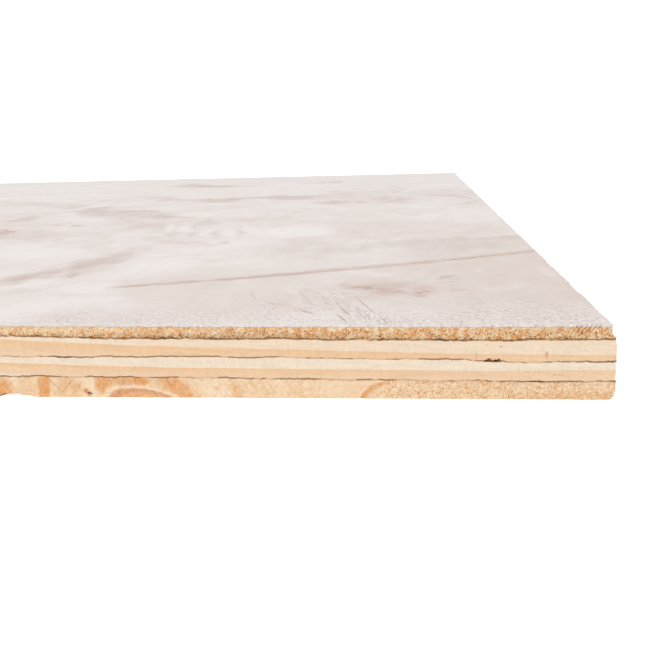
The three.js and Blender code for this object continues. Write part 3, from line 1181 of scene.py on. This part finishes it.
# Patterns drawn on the edges: width, length, detail, seed and lean
corePatterns = {
    "ringEdge": (0.5, 9, 2, 1, math.pi / 2),
    "fibres": (0.55, 6, 2, 3, 1.5),
    "sawn": (0.7, 5, 3, 6, 0.07),
    "mottle": (0.5, 0.6, 3, 8, 0.4),
}
# Where each thing begins and has its full strength, by height and then by inset
coreZones = {"upper": (6.6, 7.4), "pale": (55, 15), "plain": (60, 90)}
# Specks and a smear in the cores at the front edge, by inset and height
coreSpots = [
    (17.7, 8.6, 0.35, 0.14, 0, 0.9), (9.4, 4.1, 0.35, 0.15, 0, 0.7), (8.6, 4, 0.35, 0.15, 0, 0.7),
    (21.5, 7, 0.2, 0.9, 0, 0.4),
]


def makeCoreWood():
    finish, place = newFinish("coreWood", roughness=0.8, specular=0.2)
    edge, look = place["Edge"], coreLook
    inset, _, height = separated(place["Plan"])
    ringEdge, fibres, sawn, mottle = (streaks(edge, *values) for values in corePatterns.values())
    ring = scaled(ringEdge, 0.22, attribute(finish.node_tree, "ringHeight"))
    phase = calc("FRACT", calc("DIVIDE", ring, coreRingSpacing))
    sharp = ranged(phase, 1, 0.965)
    upper = ranged(height, *coreZones["upper"])
    paler = times(ranged(inset, *coreZones["pale"], 0, 0.35), minus(1, upper))
    warmer = times(upper, ranged(inset, *coreZones["plain"], 1, 0.45))
    color = mixed(warmer, look["cream"], look["warmCream"])
    color = coated(color, look, [
        ("fade", times(ranged(phase, 0.35, 0.5), sharp)),
        ("peach", times(ranged(phase, 0.4, 1.05), sharp, minus(1, paler))),
    ])
    shade = times(ranged(fibres, 0.3, 0.7, 0.965, 1.03), ranged(sawn, 0.3, 0.7, 0.98, 1.02))
    color = mixed(1, color, times(shade, ranged(mottle, 0.25, 0.75, 0.95, 1.04)), "MULTIPLY")
    color = mixed(ranged(noiseOn(edge, 2.2, 1), 0.72, 0.8, 0, 0.5), color, look["endDark"])
    grain = useGroup(endGroup, Vector=edge, Size=0.4)
    ends = coated(color, look, [
        ("endDark", times(grain["Pores"], 0.6)),
        ("cream", times(grain["Tufts"], 0.4)),
    ])
    color = mixed(place["AcrossY"], ends, color)
    color = mixed(times(markMask(edge, coreSpots), place["Front"]), color, look["endDark"])
    smoothGrain = scaled(fibres, reliefs["coreFibres"], times(sawn, reliefs["coreSawn"]))
    relief = blended(place["AcrossY"], times(grain["Height"], reliefs["ends"]), smoothGrain)
    # Resin stains, and painted shade in the pits of the edges
    return cover(finish, stainedAndShaded(place, color, look["pit"], start=0.25, end=0.7, amount=0.8), relief)


backLook = tints(
    ground=(247, 220, 185), cream=(251, 231, 204), tan=(235, 192, 143), orange=(232, 167, 105),
    red=(215, 148, 109), grey=(222, 188, 152), dark=(176, 122, 86), knot=(120, 66, 50),
)
backPatterns = {
    "cloud": (18, 160, 3, 14),
    "fibres": (0.6, 16, 3, 15),
    "lines": (0.22, 3, 2, 17, math.radians(38)),
}
backRings = (5.2, 26, 80, 330, 12)  # spacing, swell, width, length and seed
# Where each thing begins and has its full strength, by inset
backZones = {
    "slant": (33, 35.5),
    "torn": (40, 34),
    "tanned": (32, 16),
    "lined": (44, 50),
    "lessLined": (74, 68),
}

# The figure of the back veneer where the front edge cuts it, by inset and height
backMarks = {
    "tan": [
        (88.5, 1.8, 3.4, 3.6, 0, 0.95), (56, 1.5, 3.4, 6, -22, 0.35), (72, 2, 3, 1.8, 0, 0.5),
        (6, 0.25, 12, 1.5, -2, 1.2), (95.6, 1.6, 2.6, 4, 0, 0.55), (80, 2.8, 4.5, 1.6, 0, 0.9),
        (60, 1.5, 1.3, 3.6, -24, 0.9), (48, 1.5, 5, 3.5, 0, 0.3),
    ],
    "grey": [(79, 2.8, 2, 1.2, 0, 1.1), (73, 3, 1.5, 0.8, 0, 0.6), (90, 1, 1, 1.2, 0, 0.3)],
    "orange": [
        (99.8, 1, 2.4, 3.6, 0, 1.15), (92.7, 1.8, 1.7, 4.4, 8, 1.3), (82.6, 2.2, 1.8, 2.4, 0, 1.2),
        (76, 2.9, 2.4, 1.1, 0, 1.2), (69.6, 1.6, 2.1, 5.8, -54, 1), (86.6, 1.9, 0.7, 0.7, 0, 0.6),
        (79, 3, 5.5, 0.9, 0, 0.6),
    ],
    "cream": [
        (64, 1.8, 2.2, 5, -42, 0.7), (84.3, 1.6, 0.5, 3, 0, 0.7), (46, 2, 6, 2, 0, 0.4),
        (88.6, 0.7, 0.8, 1.2, 20, 0.55), (10, 2.5, 12, 1.1, 0, 0.5),
    ],
    "red": [(85.4, 1, 1, 0.6, 30, 1)],
    "knot": [(84.9, 0.75, 0.5, 0.28, 30, 1.4)],
}
# A band that bows up through the edge, as an ellipse: middle, half sizes and turn
swirl = {"middle": (75.7, -0.5), "half": (6.8, 2.35), "turn": 7}
# A late ring that crosses the edge on a slant, the same way
slantRing = {"middle": (33, -0.1), "half": (6.6, 3.3), "turn": 0}
darkLines = [
    (81.3, 2.6, 0.14, 1.1, -25, 0.6), (77, 2.8, 0.14, 0.8, -8, 0.5), (71.2, 2.6, 0.2, 1.4, -30, 0.5),
    (90.4, 1.6, 0.1, 1, -28, 0.7), (89, 1.6, 0.1, 1.6, 36, 0.6), (88, 2.6, 0.1, 1, 48, 0.6),
    (87.5, 0.9, 0.1, 0.9, 62, 0.5), (86.4, 2.2, 0.1, 1.2, 30, 0.5), (91.2, 2.4, 0.12, 1, -50, 0.5),
    (85.6, 1.2, 0.1, 0.8, 50, 0.4), (83, 2.4, 0.12, 1, 20, 0.4), (79, 2.8, 0.12, 0.8, 8, 0.4),
]


# How far out a point is from an ellipse's middle, where 1 is on the ellipse
def ellipseReach(vector, ellipse):
    bowed = ellipseOn(vector, **ellipse)
    return addNode("VectorMath", {0: bowed}, operation="LENGTH").outputs["Value"]


# The marks and bands at the front edge, with edges that wander
def backFigure(color, place, wandered, patchy, inset):
    for name, rows in backMarks.items():
        mask = capped(times(markMask(wandered, rows), patchy))
        color = mixed(times(mask, place["Front"]), color, backLook[name])
    away, reach = (ellipseReach(wandered, ellipse) for ellipse in (swirl, slantRing))
    rimBand = times(ranged(away, 0.83, 0.89), ranged(away, 1.07, 1), 0.8)
    redBand = times(ranged(away, 0.45, 0.7), ranged(away, 0.87, 0.8), 0.75)
    bands = [("orange", times(ranged(away, 0.98, 0.88), 0.75)), ("cream", rimBand), ("red", redBand)]
    color = coated(color, backLook, [(name, times(mask, patchy, place["Front"])) for name, mask in bands])
    slant = times(ranged(reach, 0.78, 0.93), ranged(reach, 1.06, 1))
    slant = times(slant, ranged(inset, *backZones["slant"], 0, 0.9), place["Front"])
    return mixed(slant, color, backLook["orange"])


def makeBackWood():
    finish, place = newFinish("backWood", roughness=0.82, specular=0.2)
    plan, edge, front, look = place["Plan"], place["Edge"], place["Front"], backLook
    inset = separated(plan)[0]
    cloud, fibres = (streaks(plan, *backPatterns[name]) for name in ("cloud", "fibres"))
    lines = streaks(edge, *backPatterns["lines"])
    color = mixed(ranged(cloud, 0.4, 0.65, 0, 0.6), look["ground"], look["cream"])
    rings = times(lateWood(plan, *backRings), scaled(minus(1, front), 0.55, 0.12))
    color = mixed(rings, color, look["orange"])
    wandered = vectors("ADD", edge, nudges(edge, 0.9, 3, (0.9, 0.6, 0)))
    mottle = noiseOn(edge, 2.1, 3, 0.65)
    color = backFigure(color, place, wandered, ranged(mottle, 0.35, 0.6, 0.6, 1.1), inset)

    # Torn grain on the sawn ends: coarse to the right of the slanting ring, fine lines to its left
    grain = useGroup(endGroup, Vector=edge, Size=0.34, Lean=0.35, Stretch=1.2)
    ends = times(ranged(inset, *backZones["torn"], 0.12, 1), place["AcrossY"])
    bright = larger(ranged(mottle, 0.56, 0.68, 0, 0.6), ranged(noiseOn(edge, 1.3, 3, 0.6), 0.53, 0.62))
    lined = times(ranged(inset, *backZones["lined"], 0.15, 1), place["AcrossY"])
    lined = times(lined, ranged(inset, *backZones["lessLined"], 0.45, 1))
    color = coated(color, look, [
        ("tan", times(ranged(inset, *backZones["tanned"], 0, 0.33), front)),
        ("tan", times(ranged(grain["Tone"], 0.42, 0.6), ends, 0.6)),
        ("orange", times(bright, ends, 0.75)),
        ("cream", times(grain["Tufts"], ends)),
        ("dark", times(grain["Pores"], ends, 0.5)),
        ("tan", times(ranged(lines, 0.53, 0.66, 0, 0.55), lined)),
        ("cream", times(ranged(lines, 0.47, 0.34, 0, 0.6), lined)),
        ("dark", times(capped(markMask(wandered, darkLines)), front)),
    ])
    color = mixed(1, color, ranged(fibres, 0.3, 0.7, 0.96, 1.04), "MULTIPLY")
    ends = times(grain["Height"], reliefs["ends"])
    relief = blended(place["AcrossY"], times(fibres, reliefs["backFibres"]), ends)
    # Resin stains, and painted shade in the pits of the edges
    return cover(finish, stainedAndShaded(place, color, look["dark"], start=0.22, end=0.6, amount=0.7), relief)


def makeResin():
    finish, place = newFinish("resin", roughness=0.45, specular=0.4)
    uneven = streaks(place["Edge"], 0.3, 0.8, 3, 2, math.pi / 2)
    spread = calc("ADD", attribute(finish.node_tree, "resin"), minus(uneven, 0.5))
    color = mixed(ranged(spread, 0.1, 0.5), resinLook["dry"], resinLook["resin"])
    color = mixed(ranged(spread, 0.7, 1), color, resinLook["burnt"])
    return cover(finish, color, times(uneven, reliefs["resin"]))


finishes = {
    "face_wood": makeFaceWood(),
    "core_wood": makeCoreWood(),
    "back_wood": makeBackWood(),
    "glue": makeResin(),
}
print("made the finishes")

# The pieces, from the underside up, with their nodes and their slots
pieces = [
    ("back", "backVeneer", "back_veneer", "back_wood"),
    ("lowerGlue", "lowerGlueLine", "lower_glue_line", "glue"),
    ("lowerCore", "lowerCoreVeneer", "lower_core_veneer", "core_wood"),
    ("middleGlue", "middleGlueLine", "middle_glue_line", "glue"),
    ("upperCore", "upperCoreVeneer", "upper_core_veneer", "core_wood"),
    ("upperGlue", "upperGlueLine", "upper_glue_line", "glue"),
    ("face", "faceVeneer", "face_veneer", "face_wood"),
]
for key, name, node, slotName in pieces:
    bm = makeVeneer(key) if key in veneers else makeGlueLine(key)
    finishPiece(bm, name, node, slotName)

# The studio. The eye is in millimetres from the front right corner of the face, the floor
# and the lamp are in metres, and the angles are in degrees.

studio = {
    "lens": 48.66,
    "sensor": 36,
    "nearest": 0.005,
    "eye": (-30.28, -134.7, 28.74),
    "heading": 6.46,
    "dip": 11.77,
    "roll": -1.58,
    "sky": 0.72,
    "keyPower": 55,
    "keySize": 1.6,
    "keyFrom": (-1.5, -2.3, 2.6),
    "floorSize": 6,
    "floorColor": 0.85,
    "floorGlow": 0.85,
}


def placeCamera():
    data = bpy.data.cameras.new("camera")
    data.lens = studio["lens"]
    data.sensor_width = studio["sensor"]
    data.clip_start = studio["nearest"]
    camera = addObject("camera", data)
    heading, dip, roll = (math.radians(studio[name]) for name in ("heading", "dip", "roll"))
    turn = Matrix.Rotation(heading, 4, "Z") @ Matrix.Rotation(math.pi / 2 - dip, 4, "X")
    turn = turn @ Matrix.Rotation(roll, 4, "Z")
    corner = Vector((rightX, frontY, topZ))
    camera.matrix_world = Matrix.Translation((corner + Vector(studio["eye"])) * mm) @ turn
    bpy.context.scene.camera = camera


# Whether a ray is the camera's own, or comes to it by a reflection or through glass
def seenRays(tree):
    ray = addNode("LightPath", tree=tree).outputs
    return larger(ray["Is Camera Ray"], larger(ray["Is Glossy Ray"], ray["Is Transmission Ray"]))


def layFloor():
    bm = bmesh.new()
    bmesh.ops.create_grid(bm, x_segments=1, y_segments=1, size=studio["floorSize"])
    floor = addObject("floor", meshFrom(bm, "floor"))
    white = bpy.data.materials.new("floorWhite")
    white.use_nodes = True
    floor.data.materials.append(white)
    tree = white.node_tree
    tree.nodes.clear()
    glow = addNode("Emission", {"Strength": times(seenRays(tree), studio["floorGlow"])})
    pale = addNode("BsdfDiffuse", {"Color": (*[studio["floorColor"]] * 3, 1)}, tree)
    both = addNode("AddShader", {0: pale.outputs[0], 1: glow.outputs[0]})
    addNode("OutputMaterial", {0: both.outputs[0]})


def lightStudio():
    world = bpy.data.worlds.new("studio")
    bpy.context.scene.world = world
    world.use_nodes = True
    tree = world.node_tree
    sky = tree.nodes["Background"].inputs
    sky[0].default_value = (1, 1, 1, 1)
    tree.links.new(ranged(seenRays(tree), 0, 1, studio["sky"], 1, "LINEAR"), sky[1])
    data = bpy.data.lights.new("key", "AREA")
    data.size = studio["keySize"]
    data.energy = studio["keyPower"]
    lamp = addObject("key", data)
    lamp.location = studio["keyFrom"]
    lamp.rotation_euler = (-lamp.location).to_track_quat("-Z", "Y").to_euler()


placeCamera()
layFloor()
lightStudio()
bpy.context.scene.view_settings.view_transform = "Standard"
print("set up the studio")
